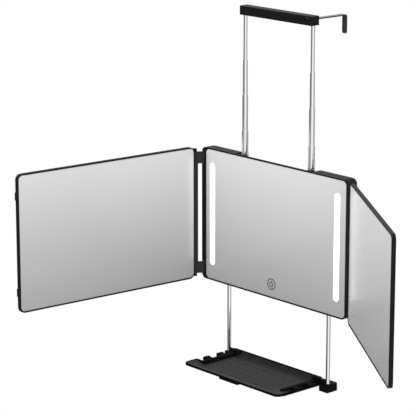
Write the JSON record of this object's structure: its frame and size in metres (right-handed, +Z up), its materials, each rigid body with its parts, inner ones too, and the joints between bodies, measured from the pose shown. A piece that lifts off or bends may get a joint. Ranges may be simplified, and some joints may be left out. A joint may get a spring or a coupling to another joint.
{
  "type": "trifold vanity mirror",
  "caption": "Folding over-door vanity mirror: lit middle mirror with two hinged wings, telescopic hanging poles with a hook, and a fold-up tray.",
  "frame": {"origin": "middle of the underside of the hook's strap, where it rests on the top of a door", "axes": "+Z up, +Y from the mirrors towards the door, +X to the right of a person facing the mirrors"},
  "size_m": [0.6526, 0.4419, 0.5991],
  "materials": {
    "black_plastic": "moulded ABS, fine satin texture",
    "tray_plastic": "moulded ABS, satin",
    "link_plastic": "glass-filled nylon, satin",
    "mirror_glass": "silvered float glass",
    "chromed_tube": "polished chrome plating",
    "hook_steel": "grey powder-coated steel strap",
    "pin_steel": "ground steel",
    "light_guide": "opal acrylic",
    "circuit_board": "green solder mask",
    "battery_wrap": "foil wrap",
    "nylon_bush": "natural nylon"
  },
  "bodies": {
    "hook": {"door_hook": "hook_steel"},
    "top_bar": {"top_bar": "black_plastic", "hook_pin": "pin_steel", "pole_section_1": "chromed_tube"},
    "pole_2": {"pole_section_2": "chromed_tube"},
    "pole_3": {"pole_section_3": "chromed_tube"},
    "pole_4": {"pole_section_4": "chromed_tube"},
    "panel": {"front_frame": "black_plastic", "middle_glass": "mirror_glass", "light_diffuser_left": "light_guide", "light_diffuser_right": "light_guide", "light_board_left": "circuit_board", "light_board_right": "circuit_board", "touch_pad": "circuit_board", "rear_housing": "black_plastic", "housing_screws": "pin_steel", "charging_socket": "pin_steel", "control_board": "circuit_board", "battery": "battery_wrap", "pole_sockets": "chromed_tube", "rod_guides": "nylon_bush", "right_hinge_pin": "pin_steel", "rail_pin": "pin_steel"},
    "right_wing": {"right_frame": "black_plastic", "right_glass": "mirror_glass", "right_back": "black_plastic"},
    "link": {"hinge_link": "link_plastic"},
    "left_wing": {"left_frame": "black_plastic", "left_glass": "mirror_glass", "left_back": "black_plastic", "closing_clips": "black_plastic", "left_hinge_pin": "pin_steel"},
    "lower_frame": {"lower_rods": "chromed_tube", "rod_ends": "black_plastic", "rod_screws": "pin_steel", "rod_stops": "nylon_bush"},
    "tray": {"tray": "tray_plastic", "tray_pins": "pin_steel"}
  },
  "joints": [
    {"name": "hook_swivel", "type": "hinge", "parent": "hook", "child": "top_bar", "pos_m": [0, -0.0408, 0.001], "axis": [0, 0, 1], "range_deg": [-90, 0]},
    {"name": "pole_slide_1", "type": "slide", "parent": "top_bar", "child": "pole_2", "axis": [0, 0, 1], "range_m": [0, 0.0732]},
    {"name": "pole_slide_2", "type": "slide", "parent": "pole_2", "child": "pole_3", "axis": [0, 0, 1], "range_m": [0, 0.057]},
    {"name": "pole_slide_3", "type": "slide", "parent": "pole_3", "child": "pole_4", "axis": [0, 0, 1], "range_m": [0, 0.059]},
    {"name": "pole_slide_4", "type": "slide", "parent": "pole_4", "child": "panel", "axis": [0, 0, 1], "range_m": [0, 0.038]},
    {"name": "right_wing_fold", "type": "hinge", "parent": "panel", "child": "right_wing", "pos_m": [0.1001, -0.0556, -0.3495], "axis": [0, 0, 1], "range_deg": [-144.86, 35.14]},
    {"name": "link_swing", "type": "hinge", "parent": "panel", "child": "link", "pos_m": [-0.2414, -0.0516, -0.3495], "axis": [0, 0, 1], "range_deg": [-53.37, 0]},
    {"name": "left_wing_fold", "type": "hinge", "parent": "link", "child": "left_wing", "pos_m": [-0.2501, -0.0633, -0.3495], "axis": [0, 0, 1], "range_deg": [-32.1, 94.53]},
    {"name": "rod_slide", "type": "slide", "parent": "panel", "child": "lower_frame", "axis": [0, 0, 1], "range_m": [0, 0.111]},
    {"name": "tray_fold", "type": "hinge", "parent": "lower_frame", "child": "tray", "pos_m": [-0.0768, -0.0402, -0.585], "axis": [1, 0, 0], "range_deg": [-90, 0]}
  ]
}
